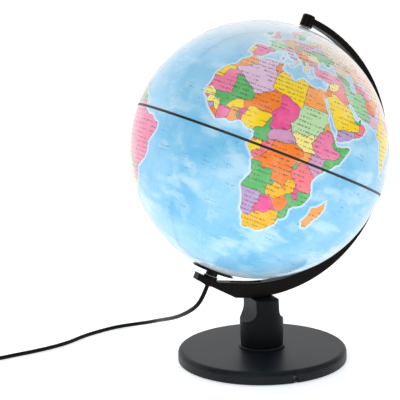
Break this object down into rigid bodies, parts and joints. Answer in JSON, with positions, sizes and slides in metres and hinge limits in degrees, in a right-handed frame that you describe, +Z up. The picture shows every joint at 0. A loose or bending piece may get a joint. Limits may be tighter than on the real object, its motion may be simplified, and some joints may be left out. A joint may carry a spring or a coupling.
{
  "type": "desktop globe lamp",
  "caption": "Small terrestrial globe lit from inside, tilted in a C-shaped arm on a round weighted base, with a mains cord and switch.",
  "frame": {"origin": "middle of the base, on the surface that it stands on", "axes": "+Z up; the arm and the polar axis lie in the XZ plane, with the north end leaning to +X"},
  "size_m": [0.5649, 0.2865, 0.3409],
  "materials": {
    "base_plastic": "fine-grained charcoal moulding",
    "pedestal_plastic": "fine-grained charcoal moulding",
    "arm_plastic": "satin black moulding",
    "cap_plastic": "satin black moulding",
    "map_north": "printed and lacquered translucent map, lit from inside",
    "map_south": "printed and lacquered translucent map, lit from inside",
    "band_plastic": "dark printed tape",
    "ring_plastic": "plain white moulding",
    "flange_plastic": "satin dark moulding",
    "bush_plastic": "self-lubricating dark plastic",
    "washer_plastic": "white slippery plastic",
    "plate_steel": "zinc-plated sheet",
    "screw_steel": "zinc-plated screws",
    "tube_steel": "plated tube",
    "pin_steel": "bright drawn pin",
    "pad_rubber": "soft closed-cell pads",
    "gland_rubber": "soft bush",
    "cord_rubber": "smooth satin cord sheath",
    "tie_plastic": "thin strap",
    "holder_plastic": "heat-proof white moulding",
    "contact_brass": "stamped brass",
    "bulb_cap_metal": "pressed lamp cap",
    "bulb_glass": "frosted glass",
    "switch_plastic": "fine-grained black moulding",
    "rocker_plastic": "smooth black moulding",
    "plug_plastic": "soft black moulding",
    "plug_pin_metal": "nickel-plated brass pins"
  },
  "bodies": {
    "stand": {"base_shell": "base_plastic", "ballast_plate": "plate_steel", "ballast_screws": "screw_steel", "foot_pads": "pad_rubber", "pedestal": "pedestal_plastic", "pedestal_screws": "screw_steel", "arm_screw": "screw_steel", "meridian_arm": "arm_plastic", "north_cap": "cap_plastic", "north_pin": "pin_steel", "thrust_washer": "washer_plastic", "lamp_tube": "tube_steel", "tube_nut": "screw_steel", "cord_gland": "gland_rubber", "inner_lead": "cord_rubber", "lamp_holder": "holder_plastic", "lamp_sleeve": "contact_brass", "lamp_contact": "contact_brass", "bulb_cap": "bulb_cap_metal", "bulb_glass": "bulb_glass", "power_cord": "cord_rubber", "switch_lower_case": "switch_plastic", "switch_upper_case": "switch_plastic", "switch_screws": "screw_steel", "switch_cord": "cord_rubber", "cord_coil": "cord_rubber", "coil_tie": "tie_plastic", "plug_cord": "cord_rubber", "plug_relief": "plug_plastic", "plug_body": "plug_plastic", "plug_pins": "plug_pin_metal"},
    "globe": {"north_half": "map_north", "south_half": "map_south", "seam_band": "band_plastic", "joining_ring": "ring_plastic", "north_bush": "bush_plastic", "south_flange": "flange_plastic", "south_bush": "bush_plastic"},
    "rocker": {"switch_rocker": "rocker_plastic"}
  },
  "joints": [
    {"name": "globe_spin", "type": "hinge", "parent": "stand", "child": "globe", "pos_m": [0, 0, 0.21069], "axis": [0.3987, 0, 0.9171], "continuous": true},
    {"name": "switch_rock", "type": "hinge", "parent": "stand", "child": "rocker", "pos_m": [-0.314, 0.092, 0.0104], "axis": [0, 1, 0], "range_deg": [0, 20]}
  ]
}
